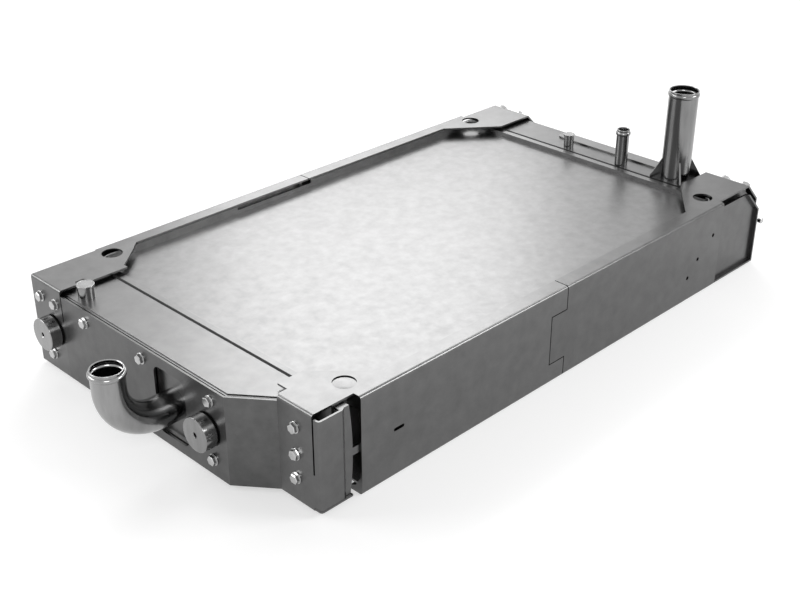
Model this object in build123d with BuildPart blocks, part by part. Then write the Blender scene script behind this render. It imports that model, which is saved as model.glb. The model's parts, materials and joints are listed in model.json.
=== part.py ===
"""Sheet framed radiator core with welded end tanks, lying on its face, in millimetres.

+X runs from the elbow end to the straight pipe end, +Z is up, -Y is the right side.
The origin is under the middle of the part, on the plane the side rails rest on.
"""

import math
import os

from build123d import *

os.makedirs("parts", exist_ok=True)

# Side rails
width = 587.5
height = 150.0
rail_start = -370.0
rail_end = 454.0
sheet = 3.0
bend = 4.5
rail_flange = 25.7
half = width / 2
middle = height / 2


def right(distance):
    """Y of a point this far in from the right side's outer face."""
    return distance - half


def left(distance):
    """Y of a point this far in from the left side's outer face."""
    return half - distance


def down(distance):
    """Z of a point this far below the top of the rails."""
    return height - distance


# Seam between the rail halves, with its tongue
seam = 42.0
seam_gap = 1.6
tongue_reach = 33.5
tongue_top = down(37.0)
tongue_bottom = down(118.0)
splice_margin = 14.0

# Outlet end of the frame
end_face = rail_start - 112.0
corner_face = rail_start - 70.0
corner_width = 77.0
corner_hole_x = rail_start + 9.5
corner_hole_in = 40.0
facet_start = 130.0
flange_bottom = down(143.0)
end_top = down(8.0)
hole_radius = 16.0

# Stack behind the end plate: gap, tank flange, tank wall
stack_gap = 3.0
tank_wall = 3.0
flange_depth = sheet + stack_gap
tank_depth = flange_depth + sheet
flange_step = 1.5

# Tanks and headers
tank_top = down(8.0)
tank_bottom = down(139.0)
header_face = rail_start - 9.0
header_reach = 11.0
seam_ring = 1.5
far_header_face = rail_end + 7.5
tank_right = 29.0
tank_left = 19.0

# Core
tray_top = down(3.3)
face_level = down(15.5)
tray_sheet = 2.0
tray_radius = 18.0
tray_inset = 25.2
core_top = face_level - tray_sheet
side_sheet = 3.0
tube_thick = 6.0
tube_nose = 2.0
tube_wall = 1.0
tube_count = 12
tube_stand = 3.0
fin_sheet = 0.8
fin_folds = 12
tube_bottom = tank_bottom + 6.0
tube_height = core_top - tube_bottom
core_width = width - 2 * (tray_inset + side_sheet)
fin_height = (core_width - tube_count * tube_thick) / (tube_count + 1)
tube_pitch = fin_height + tube_thick

# Elbow
window_right = 214.0
window_left = 281.5
window_top = down(25.0)
window_bottom = down(128.0)
window_radius = 12.0
elbow_level = down(75.0)
bend_steps = 6
bend_end = 2.0
pipe_sides = 24
elbow_outer = 22.5
elbow_bend = 66.0
elbow_axis_x = rail_start - 200.5
elbow_mouth = down(-22.0)
pipe_wall = 2.0
bead_drop = 7.0
bead_rise = 2.5
bead_half = 3.5
bead_crest = 1.2

# Mounting pads
pad_radius = 25.0
pad_thick = 18.0
pad_ring_radius = 22.5
pad_ring_thick = 2.0
pad_hole = 3.5
pad_level = elbow_level

# Inlet end
slope_start = 92.5
slope_reach = 33.0
slope_setback = 10.5
far_face = rail_end + slope_start + slope_reach
tank_far_gap = 7.0
far_tank_face = far_face - tank_far_gap
far_tank_side = 17.0
bracket_edge = 10.0
bracket_width = 94.5
bracket_overlap = 12.0
flange_extension = 26.5

# Corner pans of the inlet end
pan_depth = 6.0
pan_start = rail_end + 1.0
pan_face = far_tank_face
pan_chamfer = 36.0
pan_top = down(11.5)
pan_bottom = sheet

# Pipes and bosses on the inlet tank
pipe_x = rail_end + 52.0
pipe_offset = 36.5
pipe_y = right(bracket_width + pipe_offset)
pipe_radius = 25.0
pipe_mouth = down(-149.5)
pipe_bead_rise = 1.5
gusset_reach = 19.0
gusset_height = 37.0
gusset_toe = 3.0
vent_x = rail_end + 33.0
vent_y = right(232.0)
vent_radius = 11.2
vent_mouth = down(-58.0)
vent_bead_rise = 1.8
inlet_boss_x = rail_end + 35.0
inlet_boss_y = left(237.5)
inlet_boss_radius = 9.0
inlet_boss_top = down(-17.0)
outlet_boss_x = rail_start - 86.0
outlet_boss_y = left(112.5)
outlet_boss_radius = 12.0
outlet_boss_top = down(-14.0)
cap_rise = 1.2
cap_thick = 3.0

# Drain of the inlet tank: body along X, neck and head along Y
drain_level = down(77.0)
drain_in = 22.0
drain_radius = 6.0
drain_end = far_face + 16.0
screw_neck_radius = 3.0
screw_head_radius = 5.0
screw_head_length = 7.0

# Fasteners. Washers, shanks and small holes are drawn with few sides
bolt_radius = 4.0
bolt_flats = 13.0
bolt_head = 5.3
bolt_clearance = 0.2
washer_radius = 8.5
washer_thick = 1.6
spacer_radius = 7.0
washer_sides = 12
shank_sides = 6
hole_sides = 8


def save(part, name):
    part.label = name
    export_step(part, "parts/" + name + ".step")


def channel(start, end):
    """Right hand C section between two X positions, open towards the middle."""
    with BuildPart() as bar:
        with BuildSketch(Plane.YZ.offset(start)):
            with Locations((right(rail_flange / 2), middle)):
                Rectangle(rail_flange, height)
            fillet(vertices().sort_by(Axis.X)[:2], bend)
            with Locations((right(sheet + rail_flange / 2), middle)):
                RectangleRounded(
                    rail_flange, height - 2 * sheet, bend - sheet, mode=Mode.SUBTRACT
                )
        extrude(amount=end - start)
    return bar.part


def folded(plane, points, side, length):
    """Strip of frame sheet bent along an outer line and run along the plane's normal."""
    with BuildPart() as strip:
        with BuildSketch(plane):
            with BuildLine():
                FilletPolyline(*points, radius=bend)
                offset(amount=sheet, side=side, closed=True)
            make_face()
        extrude(amount=length)
    return strip.part


def end_region(depth):
    """Plan area behind the outlet end, this far in from the end plate's outer face."""
    back = header_face + width
    with BuildSketch() as region:
        with BuildLine():
            Polyline(
                (end_face, left(-width)),
                (end_face, right(facet_start)),
                (corner_face, right(corner_width)),
                (corner_face, right(-width)),
                (back, right(-width)),
                (back, left(-width)),
                close=True,
            )
        make_face()
        if depth > 0:
            offset(amount=-depth, kind=Kind.INTERSECTION)
    return region.sketch


def bolt(reach):
    """Hexagon bolt on a washer, head up, its shank running this far below the seat."""
    with BuildPart() as screw:
        with BuildSketch():
            RegularPolygon(washer_radius, washer_sides)
        extrude(amount=washer_thick)
        with BuildSketch(Plane.XY.offset(washer_thick)):
            RegularPolygon(bolt_flats / 2, 6, major_radius=False)
        extrude(amount=bolt_head)
        with BuildSketch():
            RegularPolygon(bolt_radius, shank_sides)
        extrude(amount=-reach)
    return screw.part


def bolt_holes(plane, points):
    """Cutters for the bolts at these points of a plane, long enough for the whole stack."""
    with BuildPart() as cutters:
        with BuildSketch(plane.offset(sheet)):
            with Locations(*points):
                RegularPolygon(bolt_radius + bolt_clearance, shank_sides)
        extrude(amount=-sheet - tank_depth)
    return cutters.part


def ring(level, radius):
    """Pipe's outline at a level, a polygon of many sides."""
    with BuildSketch(Plane.XY.offset(level)) as outline:
        RegularPolygon(radius, pipe_sides)
    return outline.sketch


def spigot(radius, low, mouth, rise):
    """Straight hose pipe on the Z axis with a rolled bead below its mouth."""
    crest = mouth - bead_drop
    with BuildPart() as pipe:
        extrude(ring(low, radius), amount=mouth - low)
        # Rolled bead: two slanted flanks and a round crest
        for way in (-1, 1):
            foot = ring(crest + way * bead_half, radius)
            loft([foot, ring(crest + way * bead_crest, radius + rise)])
        with BuildSketch(Plane.XY.offset(crest - bead_crest)):
            Circle(radius + rise)
        extrude(amount=2 * bead_crest)
        extrude(ring(low, radius - pipe_wall), amount=mouth - low, mode=Mode.SUBTRACT)
    return pipe.part


# Where the fasteners go: Y position, then height
bolt_row = down(27.0)
bolt_foot = down(117.0)
plate_bolts = [
    (left(28.5), bolt_row),
    (left(66.5), bolt_row),
    (left(143.5), bolt_row),
    (right(308.0), bolt_row),
    (right(160.0), bolt_row),
    (left(45.5), bolt_foot),
    (right(160.0), bolt_foot),
]
corner_bolt_in = 45.0
corner_bolts = [(right(corner_bolt_in), down(drop)) for drop in (32.0, 72.0, 108.0)]
slope_bolts = [right(22.3), right(61.1), left(22.3), left(61.1)]
slope_bolt_drop = 11.5
pad_centres = [left(53.5), right(170.5)]

end_plane = Plane(origin=(end_face, 0, 0), x_dir=(0, -1, 0), z_dir=(-1, 0, 0))
corner_plane = Plane(origin=(corner_face, 0, 0), x_dir=(0, -1, 0), z_dir=(-1, 0, 0))
side_plane = Plane.XZ.offset(half)
plate_points = [(-across, level) for across, level in plate_bolts]
corner_points = [(-across, level) for across, level in corner_bolts]
plate_holes = bolt_holes(end_plane, plate_points)
corner_holes = bolt_holes(corner_plane, corner_points)

# Right rail, outlet half: channel, corner plate, end flange and side return
outer_corner = 13.0
right_inner = 97.6
right_step = 79.0
right_step_x = corner_face + 19.0
brace_start = rail_start + 60.0
brace_end = rail_start - 9.0
brace_in = 27.0
slit_in = 11.4
slit_width = 2.8
slit_bottom = down(88.0)
return_top = down(5.0)
return_bottom = down(138.5)
joggle_start = rail_start - 31.0
joggle_end = rail_start - 25.0
lip_end = rail_start - 17.0
lip_depth = 3.5
lip_bulge = 5.0
lip_tab_length = 16.0
lip_tab_width = 9.0
lip_tongue_top = down(71.5)
lip_tongue_height = 11.5
lip_tongue_end = rail_start + 6.0
web_edge = 1.5
web_width = 24.5
web_drop = 21.0
web_foot = 28.0
web_toe = 8.0
web_slant = 14.0
slot_x = rail_start + 67.0
slot_z = down(77.0)
slot_length = 19.0
slot_height = 5.0

rail_bar = channel(rail_start, seam - seam_gap / 2)
flange_strip = folded(
    Plane.XZ.offset(-right(outer_corner)),
    [(rail_start, height), (corner_face, height), (corner_face, flange_bottom)],
    Side.LEFT,
    outer_corner - corner_width,
)
return_strip = folded(
    Plane.XY.offset(return_bottom),
    [(corner_face, right(outer_corner)), (corner_face, right(0)), (joggle_start, right(0))],
    Side.LEFT,
    return_top - return_bottom,
)
with BuildPart() as outlet_rail_right:
    add(rail_bar)
    with BuildSketch(Plane.XY.offset(height)):
        Polygon(
            (corner_face + bend, right(outer_corner)),
            (rail_start, right(outer_corner)),
            (rail_start, right(bend)),
            (brace_start, right(bend)),
            (brace_start, right(brace_in)),
            (brace_end, right(right_inner)),
            (right_step_x, right(right_inner)),
            (right_step_x, right(right_step)),
            (corner_face + bend, right(right_step)),
            align=None,
        )
    extrude(amount=-sheet)
    add(flange_strip)
    add(return_strip)
    # Slit between the end flange and the corner strip
    with Locations((corner_face, right(slit_in), slit_bottom)):
        Box(
            3 * bend, slit_width, height,
            align=(Align.CENTER, Align.CENTER, Align.MIN), mode=Mode.SUBTRACT,
        )
    # Joggle and lip of the side return
    with BuildSketch(Plane.XY.offset(return_bottom)):
        Polygon(
            (joggle_start - 1, right(0)),
            (joggle_start, right(0)),
            (joggle_end, right(lip_depth)),
            (lip_end + lip_bulge, right(lip_depth)),
            (lip_end + lip_bulge, right(lip_depth + sheet)),
            (joggle_end - 1, right(lip_depth + sheet)),
            (joggle_start - 1, right(sheet)),
            align=None,
        )
    extrude(amount=return_top - return_bottom)
    # Bow of the lip's edge
    with BuildSketch(side_plane):
        with BuildLine():
            ThreePointArc(
                (lip_end, return_top), (lip_end + lip_bulge, middle), (lip_end, return_bottom)
            )
            Polyline(
                (lip_end, return_bottom),
                (rail_start - web_edge, return_bottom),
                (rail_start - web_edge, return_top),
                (lip_end, return_top),
            )
        make_face()
    extrude(amount=-2 * lip_depth - sheet, mode=Mode.SUBTRACT)
    # Tab on top of the lip, and its tongue reaching behind the rail's wall
    with Locations((lip_end, right(lip_depth), return_top)):
        Box(
            lip_tab_length, lip_tab_width, sheet, align=(Align.MAX, Align.MIN, Align.MAX)
        )
    with Locations((lip_tongue_end, right(lip_depth), lip_tongue_top)):
        Box(
            lip_tongue_end - lip_end, sheet, lip_tongue_height,
            align=(Align.MAX, Align.MIN, Align.MAX),
        )
    # Webs in the upper and the lower corner of the channel's end
    with BuildSketch(Plane.YZ.offset(rail_start)):
        Polygon(
            (right(web_edge), down(sheet)),
            (right(sheet), down(web_edge)),
            (right(web_width), down(web_edge)),
            (right(web_width), down(web_drop)),
            (right(web_slant), down(web_drop)),
            (right(web_edge), down(web_drop) + sheet),
            align=None,
        )
        Polygon(
            (right(web_edge), web_foot),
            (right(web_slant), web_toe),
            (right(web_width), sheet),
            (right(web_width), web_edge),
            (right(sheet), web_edge),
            (right(web_edge), sheet),
            align=None,
        )
    extrude(amount=sheet)
    # Notch for the tongue of the other half
    with Locations((seam, right(0), tongue_top)):
        Box(
            tongue_reach + seam_gap, 4 * sheet, tongue_top - tongue_bottom,
            align=(Align.MAX, Align.CENTER, Align.MAX), mode=Mode.SUBTRACT,
        )
    with Locations((corner_hole_x, right(corner_hole_in), height)):
        Cylinder(hole_radius, 4 * sheet, mode=Mode.SUBTRACT)
    with BuildSketch(side_plane):
        with Locations((slot_x, slot_z)):
            SlotOverall(slot_length, slot_height)
    extrude(amount=-2 * sheet, mode=Mode.SUBTRACT)
    add(corner_holes, mode=Mode.SUBTRACT)
save(outlet_rail_right.part, "outlet_rail_right")

# Left rail, outlet half: channel and boxed corner
left_edge = 2.5
left_step = rail_start + 1.6
left_inner = 86.5
left_flange_inner = 82.5
left_brace_start = rail_start + 61.0
left_brace_end = rail_start - 8.7
left_brace_in = 26.0
hollow_start = rail_start - 84.0
hollow_end = rail_start - 59.0
hollow_in = 73.0
relief_length = 18.0
relief_width = 2.0
relief_angle = 43.0
left_hole_x = rail_start + 11.6
left_hole_in = 31.5
relief_centre = (left_brace_start - 7.5, left(left_brace_in + 6.5))
box_length = left_step - end_face
box_width = left_inner - left_edge
box_height = height - flange_bottom
mirrored_bar = mirror(channel(left_step, seam - seam_gap / 2), about=Plane.XZ)
with BuildPart() as left_box:
    with Locations((left_step, left(left_edge), height)):
        Box(box_length, box_width, box_height, align=(Align.MAX, Align.MAX, Align.MAX))
    outer_edge = edges().filter_by(Axis.Z).group_by(Axis.X)[0].sort_by(Axis.Y)[-1]
    top_edges = faces().sort_by(Axis.Z)[-1].edges()
    end_edge = top_edges.sort_by(Axis.X)[0]
    side_edge = top_edges.sort_by(Axis.Y)[-1]
    fillet([outer_edge, end_edge, side_edge], bend)
    with Locations((left_step + 1, left(left_edge + sheet), height - sheet)):
        Box(
            box_length + 1 - sheet, box_width + 1, box_height,
            align=(Align.MAX, Align.MAX, Align.MAX), mode=Mode.SUBTRACT,
        )
with BuildPart() as outlet_rail_left:
    add(left_box.part)
    # Inner edge of the corner plate, with the hollow beside the boss
    with BuildSketch(Plane.XY.offset(height)):
        Polygon(
            (end_face, left(left_inner)),
            (end_face, left(left_flange_inner)),
            (hollow_start, left(left_flange_inner)),
            (hollow_start + 5, left(hollow_in)),
            (hollow_end - 7, left(hollow_in)),
            (hollow_end, left(left_inner)),
            align=None,
        )
    extrude(amount=-sheet, mode=Mode.SUBTRACT)
    with BuildSketch(Plane.XY.offset(height)):
        Polygon(
            (left_brace_end, left(left_inner)),
            (left_brace_start, left(left_brace_in)),
            (left_brace_start, left(bend)),
            (left_step, left(bend)),
            (left_brace_end, left(2 * bend)),
            align=None,
        )
    extrude(amount=-sheet)
    add(mirrored_bar)
    # Bend relief where the slanted edge meets the rail
    with BuildSketch(Plane.XY.offset(height)):
        with Locations(Location(relief_centre, relief_angle)):
            Rectangle(relief_length, relief_width)
    extrude(amount=-sheet, mode=Mode.SUBTRACT)
    # The end flange stops beside the end plate
    with Locations((end_face, left(left_flange_inner), height)):
        Box(
            4 * sheet, box_width, height,
            align=(Align.CENTER, Align.MAX, Align.MAX), mode=Mode.SUBTRACT,
        )
    with Locations((seam, left(0), tongue_top)):
        Box(
            tongue_reach + seam_gap, 4 * sheet, tongue_top - tongue_bottom,
            align=(Align.MAX, Align.CENTER, Align.MAX), mode=Mode.SUBTRACT,
        )
    with Locations((left_hole_x, left(left_hole_in), height)):
        Cylinder(hole_radius, 4 * sheet, mode=Mode.SUBTRACT)
    add(plate_holes, mode=Mode.SUBTRACT)
save(outlet_rail_left.part, "outlet_rail_left")

# Rails, inlet half: channel with a tongue, corner plate, slope and end flange
slope_top = (rail_end + slope_start, height)
slope_foot = (far_face, down(slope_reach))
inlet_brace_start = rail_end - 72.0
trim_hole_radius = 3.5
trim_holes = [(rail_end - 24, down(50)), (rail_end - 64, down(80)), (rail_end - 89, down(106))]
plate_hole_x = rail_end - 6.0


def slope_seat(across):
    """Seat plane of a bolt on the slope, Z pointing out of it."""
    step = slope_bolt_drop / math.sqrt(2)
    return Plane(
        origin=(slope_top[0] + step, across, height - step), x_dir=(0, 1, 0), z_dir=(1, 0, 1)
    )


def inlet_rail(hole_in):
    """Right hand inlet half, its corner plate's hole this far in from the side."""
    bar = channel(seam + seam_gap / 2, rail_end)
    strip = folded(
        Plane.XZ.offset(-right(bracket_edge)),
        [(rail_end + bracket_overlap, height), slope_top, slope_foot, (far_face, flange_bottom)],
        Side.RIGHT,
        bracket_edge - bracket_width,
    )
    with BuildPart() as rail:
        add(bar)
        add(strip)
        with BuildSketch(Plane.XY.offset(height)):
            Polygon(
                (inlet_brace_start, right(bend)),
                (rail_end, right(bend)),
                (rail_end, right(bracket_edge)),
                (rail_end + bracket_overlap + 2, right(bracket_edge)),
                (rail_end + bracket_overlap + 2, right(bracket_width)),
                (rail_end + bracket_overlap, right(bracket_width)),
                (inlet_brace_start, right(brace_in)),
                align=None,
            )
        extrude(amount=-sheet)
        # Bottom flange running on past the side wall
        with Locations((rail_end, right(sheet), 0)):
            Box(
                flange_extension, rail_flange - sheet, sheet,
                align=(Align.MIN, Align.MIN, Align.MIN),
            )
        # Tongue reaching into the other half's notch
        with BuildSketch(side_plane):
            with Locations((seam + seam_gap, (tongue_top + tongue_bottom) / 2)):
                Rectangle(
                    tongue_reach + seam_gap,
                    tongue_top - tongue_bottom - 2 * seam_gap,
                    align=(Align.MAX, Align.CENTER),
                )
        extrude(amount=-sheet)
        with BuildSketch(side_plane):
            with Locations(*trim_holes):
                RegularPolygon(trim_hole_radius, hole_sides)
        extrude(amount=-2 * sheet, mode=Mode.SUBTRACT)
        with Locations((plate_hole_x, right(hole_in), height)):
            Cylinder(hole_radius, 4 * sheet, mode=Mode.SUBTRACT)
        for bolt_y in slope_bolts[:2]:
            add(bolt_holes(slope_seat(bolt_y), [(0, 0)]), mode=Mode.SUBTRACT)
    return rail.part


# The right one also has a hole for the body of the drain screw
drain_plane = Plane(origin=(far_tank_face, right(drain_in), drain_level), z_dir=(1, 0, 0))
with BuildPart() as inlet_rail_right:
    add(inlet_rail(38.5))
    with BuildSketch(drain_plane):
        RegularPolygon(drain_radius + bolt_clearance, washer_sides)
    extrude(amount=drain_end - far_tank_face, mode=Mode.SUBTRACT)
save(inlet_rail_right.part, "inlet_rail_right")
save(mirror(inlet_rail(33.0), about=Plane.XZ), "inlet_rail_left")

# Plates behind the seams, joining the rail halves
splice_x = seam - tongue_reach / 2
splice_length = tongue_reach + 2 * splice_margin
splice_height = tongue_top - tongue_bottom + 2 * splice_margin
with BuildPart() as rail_splices:
    with Locations((splice_x, right(sheet), middle)):
        Box(splice_length, sheet, splice_height, align=(Align.CENTER, Align.MIN, Align.CENTER))
    with Locations((splice_x, left(sheet), middle)):
        Box(splice_length, sheet, splice_height, align=(Align.CENTER, Align.MAX, Align.CENTER))
save(rail_splices.part, "rail_splices")

# Outlet end plate, folded along one line beside the right corner
window_centre = (-right((window_right + window_left) / 2), (window_top + window_bottom) / 2)
window_size = (window_left - window_right, window_top - window_bottom)
sheet_region = end_region(sheet)
tank_region = end_region(tank_depth)
plate_notch = 2.2
plate_notch_drop = 50.0


def across_end(low, high):
    """Keeps what lies between two Y positions of a plan sketch."""
    with Locations((end_face, low)):
        Rectangle(4 * half, high - low, align=(Align.CENTER, Align.MIN), mode=Mode.INTERSECT)


with BuildPart() as outlet_end_plate:
    with BuildSketch(Plane.XY.offset(flange_bottom)):
        add(end_region(0))
        add(sheet_region, mode=Mode.SUBTRACT)
        across_end(right(corner_width), left(left_flange_inner))
    extrude(amount=end_top - flange_bottom)
    # Step beside the left corner's end flange
    with Locations((end_face, left(left_flange_inner), height)):
        Box(
            4 * sheet, 2 * plate_notch, plate_notch_drop,
            align=(Align.CENTER, Align.CENTER, Align.MAX), mode=Mode.SUBTRACT,
        )
    with BuildSketch(end_plane):
        with Locations(window_centre):
            RectangleRounded(*window_size, window_radius)
    extrude(amount=-2 * sheet, mode=Mode.SUBTRACT)
    add(plate_holes, mode=Mode.SUBTRACT)
save(outlet_end_plate.part, "outlet_end_plate")

# Flange plate between the end plate and the outlet tank
flange_top = end_top - flange_step
with BuildPart() as outlet_tank_flange:
    with BuildSketch(Plane.XY.offset(tank_bottom)):
        add(end_region(flange_depth))
        add(tank_region, mode=Mode.SUBTRACT)
        across_end(right(tank_right), left(tank_left))
    extrude(amount=flange_top - tank_bottom)
    with BuildSketch(end_plane):
        with Locations(window_centre):
            RectangleRounded(*window_size, window_radius)
    extrude(amount=-2 * tank_depth, mode=Mode.SUBTRACT)
    add(plate_holes, mode=Mode.SUBTRACT)
    add(corner_holes, mode=Mode.SUBTRACT)
save(outlet_tank_flange.part, "outlet_tank_flange")

# Outlet tank, open towards the header
elbow_y = right((window_right + window_left) / 2)
outlet_seam = header_face - header_reach


def up_to_seam(end, low, high):
    """Keeps what lies before an X position and between two Y positions of a plan sketch."""
    with Locations((end, low)):
        Rectangle(width, high - low, align=(Align.MAX, Align.MIN), mode=Mode.INTERSECT)


with BuildPart() as outlet_tank:
    with BuildSketch(Plane.XY.offset(tank_bottom)):
        add(tank_region)
        up_to_seam(outlet_seam - seam_ring, right(tank_right), left(tank_left))
    extrude(amount=tank_top - tank_bottom)
    with BuildSketch(Plane.XY.offset(tank_bottom + tank_wall)):
        add(end_region(tank_depth + tank_wall))
        up_to_seam(outlet_seam, right(tank_right + tank_wall), left(tank_left + tank_wall))
    extrude(amount=tank_top - tank_bottom - 2 * tank_wall, mode=Mode.SUBTRACT)
    with Locations(end_plane):
        with Locations((-elbow_y, elbow_level)):
            Cylinder(elbow_outer - pipe_wall, 3 * tank_depth, mode=Mode.SUBTRACT)
save(outlet_tank.part, "outlet_tank")

# Inlet tank, bent down over the far end
inlet_seam = far_header_face + header_reach
tank_slope_start = slope_top[0] - slope_setback + (height - tank_top)
with BuildPart() as inlet_tank:
    with BuildSketch(Plane.XZ.offset(-right(far_tank_side))):
        Polygon(
            (inlet_seam + seam_ring, tank_bottom),
            (inlet_seam + seam_ring, tank_top),
            (tank_slope_start, tank_top),
            (far_tank_face, tank_top - (far_tank_face - tank_slope_start)),
            (far_tank_face, tank_bottom),
            align=None,
        )
    extrude(amount=2 * far_tank_side - width)
    slope_edges = edges().filter_by(Axis.Y).group_by(Axis.Z)
    fillet([slope_edges[-1].sort_by(Axis.X)[-1], slope_edges[-2].sort_by(Axis.X)[-1]], bend)
    seam_side = faces().filter_by(Plane.YZ).sort_by(Axis.X)[0]
    offset(amount=-tank_wall, openings=seam_side, kind=Kind.INTERSECTION)
    for centre, bore in (
        ((pipe_x, pipe_y, tank_top), pipe_radius - pipe_wall),
        ((vent_x, vent_y, tank_top), vent_radius - pipe_wall),
    ):
        with Locations(centre):
            Cylinder(bore, 3 * tank_wall, mode=Mode.SUBTRACT)
save(inlet_tank.part, "inlet_tank")


def tube_outlines(inset):
    """Section of all the tubes across the core, shrunk by an inset."""
    thick = tube_thick - 2 * inset
    tall = tube_height - 2 * inset
    with GridLocations(tube_pitch, 0, tube_count, 1):
        with Locations((0, (core_top + tube_bottom) / 2)):
            Polygon(
                (-thick / 2, tall / 2 - tube_nose),
                (0, tall / 2),
                (thick / 2, tall / 2 - tube_nose),
                (thick / 2, tube_nose - tall / 2),
                (0, -tall / 2),
                (-thick / 2, tube_nose - tall / 2),
                align=None,
            )


def header(face, reach, low_y, high_y):
    """Folded header tray: tube plate at its face, lips reaching back to the tank."""
    far_side = min(face, face + reach)
    away = math.copysign(tank_wall, reach)
    across = high_y - low_y
    tall = tank_top - tank_bottom
    with BuildPart() as tray:
        with Locations((far_side, low_y, tank_bottom)):
            Box(abs(reach), across, tall, align=(Align.MIN, Align.MIN, Align.MIN))
        with Locations((face + away + reach / 2, low_y + across / 2, tank_bottom + tall / 2)):
            Box(
                abs(reach), across - 2 * tank_wall, tall - 2 * tank_wall, mode=Mode.SUBTRACT
            )
        with BuildSketch(Plane.YZ.offset(face - reach)):
            tube_outlines(0)
        extrude(amount=3 * reach, mode=Mode.SUBTRACT)
    return tray.part


outlet_header = header(header_face, -header_reach, right(tank_right), left(tank_left))
save(outlet_header, "outlet_header")
inlet_header = header(
    far_header_face, header_reach, right(far_tank_side), left(far_tank_side)
)
save(inlet_header, "inlet_header")


def seam_strip(start, low_y, high_y):
    """Ring set into the seam between a header and its tank."""
    across = high_y - low_y
    tall = tank_top - tank_bottom
    with BuildPart() as ring:
        with Locations((start, low_y + seam_ring, tank_bottom + seam_ring)):
            Box(
                seam_ring, across - 2 * seam_ring, tall - 2 * seam_ring,
                align=(Align.MIN, Align.MIN, Align.MIN),
            )
        with Locations((start, low_y + tank_wall, tank_bottom + tank_wall)):
            Box(
                seam_ring, across - 2 * tank_wall, tall - 2 * tank_wall,
                align=(Align.MIN, Align.MIN, Align.MIN), mode=Mode.SUBTRACT,
            )
    return ring.part


outlet_ring = seam_strip(outlet_seam - seam_ring, right(tank_right), left(tank_left))
save(outlet_ring, "outlet_seam_ring")
inlet_ring = seam_strip(inlet_seam, right(far_tank_side), left(far_tank_side))
save(inlet_ring, "inlet_seam_ring")

# Core: hollow flat tubes through both headers, folded fins between them
tray_length = far_header_face - header_face
with BuildPart() as core_tubes:
    with BuildSketch(Plane.YZ.offset(header_face - tank_wall - tube_stand)):
        tube_outlines(0)
    extrude(amount=tray_length + 2 * (tank_wall + tube_stand))
    with BuildSketch(Plane.YZ.offset(header_face - header_reach)):
        tube_outlines(tube_wall)
    extrude(amount=tray_length + 2 * header_reach, mode=Mode.SUBTRACT)
save(core_tubes.part, "core_tubes")

with BuildPart() as core_fins:
    with BuildSketch(Plane.XY.offset(tube_bottom)):
        fold = tray_length / fin_folds
        rise = fin_height - fin_sheet * math.hypot(fin_height, fold) / fold
        for gap in range(tube_count + 1):
            low = gap * tube_pitch - core_width / 2
            crests = [
                (header_face + i * fold, low + (i % 2) * rise) for i in range(fin_folds + 1)
            ]
            upper = [(x, y + fin_height - rise) for x, y in crests]
            Polygon(*upper, *reversed(crests), align=None)
    extrude(amount=tube_height)
save(core_fins.part, "core_fins")

# Side channels of the core, standing between the core and the side rails
with BuildPart() as core_side:
    with BuildSketch(Plane.YZ.offset(header_face)):
        with Locations((right(sheet), core_top)):
            Rectangle(
                tray_inset + side_sheet - sheet, core_top - tank_bottom, align=(Align.MIN, Align.MAX)
            )
        with Locations((right(sheet), core_top - side_sheet)):
            Rectangle(
                tray_inset - sheet, core_top - tank_bottom - 2 * side_sheet,
                align=(Align.MIN, Align.MAX), mode=Mode.SUBTRACT,
            )
    extrude(amount=tray_length)
    # Flanges end with the rail walls they bear on
    for flange_end, toward in ((rail_start + sheet, Align.MAX), (rail_end, Align.MIN)):
        with Locations((flange_end, right(0), middle)):
            Box(
                4 * header_reach, tray_inset, height,
                align=(toward, Align.MIN, Align.CENTER), mode=Mode.SUBTRACT,
            )
save(core_side.part, "core_side_right")
save(mirror(core_side.part, about=Plane.XZ), "core_side_left")

# Face tray: pressed sheet over the core with an upturned rim
tray_middle = ((header_face + far_header_face) / 2, 0)
tray_width = width - 2 * tray_inset
notch_start = rail_start + 256.0
notch_end = rail_start + 416.0
notch_floor = down(9.0)
with BuildPart() as face_tray:
    with BuildSketch(Plane.XY.offset(core_top)):
        with Locations(tray_middle):
            RectangleRounded(tray_length, tray_width, tray_radius)
    extrude(amount=tray_top - core_top)
    with BuildSketch(Plane.XY.offset(face_level)):
        with Locations(tray_middle):
            RectangleRounded(
                tray_length - 2 * tray_sheet, tray_width - 2 * tray_sheet,
                tray_radius - tray_sheet,
            )
    extrude(amount=tray_top - face_level, mode=Mode.SUBTRACT)
    # End walls stop level with the tanks
    for wall_x in (header_face, far_header_face):
        with Locations((wall_x, 0, tank_top)):
            Box(
                2 * tray_sheet + 1, width, height,
                align=(Align.CENTER, Align.CENTER, Align.MIN), mode=Mode.SUBTRACT,
            )
    with Locations((notch_start, left(tray_inset), notch_floor)):
        Box(
            notch_end - notch_start, 3 * tray_sheet, height,
            align=(Align.MIN, Align.CENTER, Align.MIN), mode=Mode.SUBTRACT,
        )
save(face_tray.part, "face_tray")

# Pin between the notched rim and the left rail's flange
post_x = rail_start + 394.0
with BuildPart() as spacer_post:
    with BuildSketch(Plane.XY.offset(notch_floor)):
        with Locations((post_x, left(tray_inset + tray_sheet / 2))):
            RegularPolygon(tray_sheet / 2, hole_sides)
    extrude(amount=down(sheet) - notch_floor)
save(spacer_post.part, "spacer_post")

# Elbow welded to the outlet tank through the window: straight leg, bend and spigot
elbow_start = end_face + tank_depth
bend_start = elbow_axis_x + elbow_bend
bend_top = elbow_level + elbow_bend
elbow_spigot = Pos(elbow_axis_x, elbow_y, 0) * spigot(
    elbow_outer, bend_top + bend_end, elbow_mouth, bead_rise
)


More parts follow.
